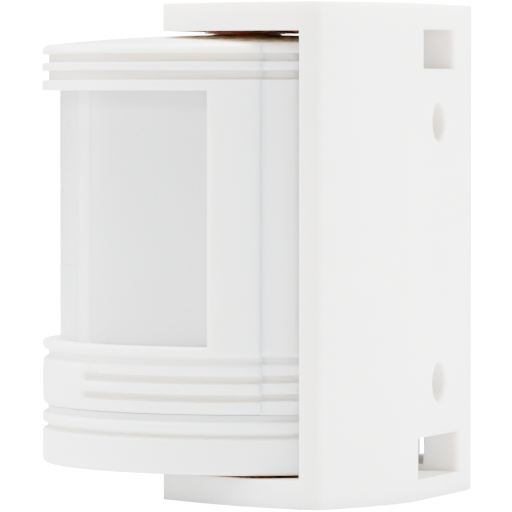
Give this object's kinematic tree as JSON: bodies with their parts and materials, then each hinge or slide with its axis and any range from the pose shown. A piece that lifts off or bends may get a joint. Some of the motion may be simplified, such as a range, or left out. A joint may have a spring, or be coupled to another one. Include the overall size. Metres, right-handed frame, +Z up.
{
  "type": "motion sensor",
  "caption": "Battery motion sensor: a ribbed D-shaped head with a tall curved lens window that pans between the arms of a U-shaped wall bracket.",
  "frame": {"origin": "on the pan axis at the underside of the bracket, which is the centre of the bottom of the whole object's box", "axes": "+Z up along the pan axis, the lens faces -Y, the wall face of the bracket looks along +Y, X across"},
  "size_m": [0.0592, 0.0592, 0.07],
  "materials": {
    "bracket_plastic": "satin white moulded plastic",
    "housing_plastic": "satin white moulded plastic",
    "lens_film": "milky translucent lens film",
    "inner_plastic": "unpolished white moulding",
    "steel": "zinc plated",
    "nickel_contact": "nickel plated sheet and wire",
    "board_laminate": "green solder mask",
    "black_plastic": "black moulded plastic",
    "can_metal": "plated metal can",
    "sensor_filter": "dark infrared filter",
    "gold_lead": "gold flashed pins",
    "led_lens": "tinted clear resin",
    "cds_face": "resin over a ceramic disc",
    "cap_sleeve": "dark sleeve over an aluminium can",
    "copper_wire": "enamelled copper wire",
    "cell_wrap": "printed shrink sleeve with bare steel ends",
    "dial_body": "blue trimmer body",
    "dial_white": "white rotor",
    "button_grey": "grey moulded plastic"
  },
  "bodies": {
    "bracket": {"bracket": "bracket_plastic"},
    "head": {"front_housing": "housing_plastic", "rear_cover": "housing_plastic", "lens": "lens_film", "lens_retainer": "inner_plastic", "base_plate": "inner_plastic", "base_screws": "steel", "main_board": "board_laminate", "board_screws": "steel", "sensor_can": "can_metal", "sensor_window": "sensor_filter", "sensor_leads": "gold_lead", "sensor_shroud": "black_plastic", "status_led": "led_lens", "light_sensor": "cds_face", "controller_chip": "black_plastic", "supply_capacitor": "cap_sleeve", "radio_module": "board_laminate", "radio_crystal": "can_metal", "antenna_coil": "copper_wire", "battery_cradle": "inner_plastic", "cell_upper": "cell_wrap", "cell_lower": "cell_wrap", "cell_springs": "nickel_contact", "cell_plates": "nickel_contact", "cell_bridge": "nickel_contact", "control_board": "board_laminate", "header_bar": "black_plastic", "header_pins": "gold_lead", "learn_switch": "black_plastic", "dial_bases": "dial_body", "mode_switch": "can_metal"},
    "cap": {"bottom_cap": "housing_plastic"},
    "learn_key": {"learn_button": "button_grey"},
    "time_rotor": {"time_dial": "dial_white"},
    "light_rotor": {"light_dial": "dial_white"},
    "mode_knob": {"mode_slider": "black_plastic"}
  },
  "joints": [
    {"name": "head_pan", "type": "hinge", "parent": "bracket", "child": "head", "pos_m": [0, 0, 0.035], "axis": [0, 0, 1], "range_deg": [-15, 15]},
    {"name": "cap_slide", "type": "slide", "parent": "head", "child": "cap", "axis": [0, -1, 0], "range_m": [0, 0.045]},
    {"name": "learn_press", "type": "slide", "parent": "head", "child": "learn_key", "axis": [0, 0, 1], "range_m": [0, 0.0005], "stiffness_N_per_m": 600, "springref_m": -0.0005},
    {"name": "time_turn", "type": "hinge", "parent": "head", "child": "time_rotor", "pos_m": [0.0085, -0.016, 0.015], "axis": [0, 0, 1], "range_deg": [-130, 130]},
    {"name": "light_turn", "type": "hinge", "parent": "head", "child": "light_rotor", "pos_m": [-0.0085, -0.016, 0.015], "axis": [0, 0, 1], "range_deg": [-130, 130]},
    {"name": "mode_shift", "type": "slide", "parent": "head", "child": "mode_knob", "axis": [1, 0, 0], "range_m": [0, 0.003]}
  ]
}
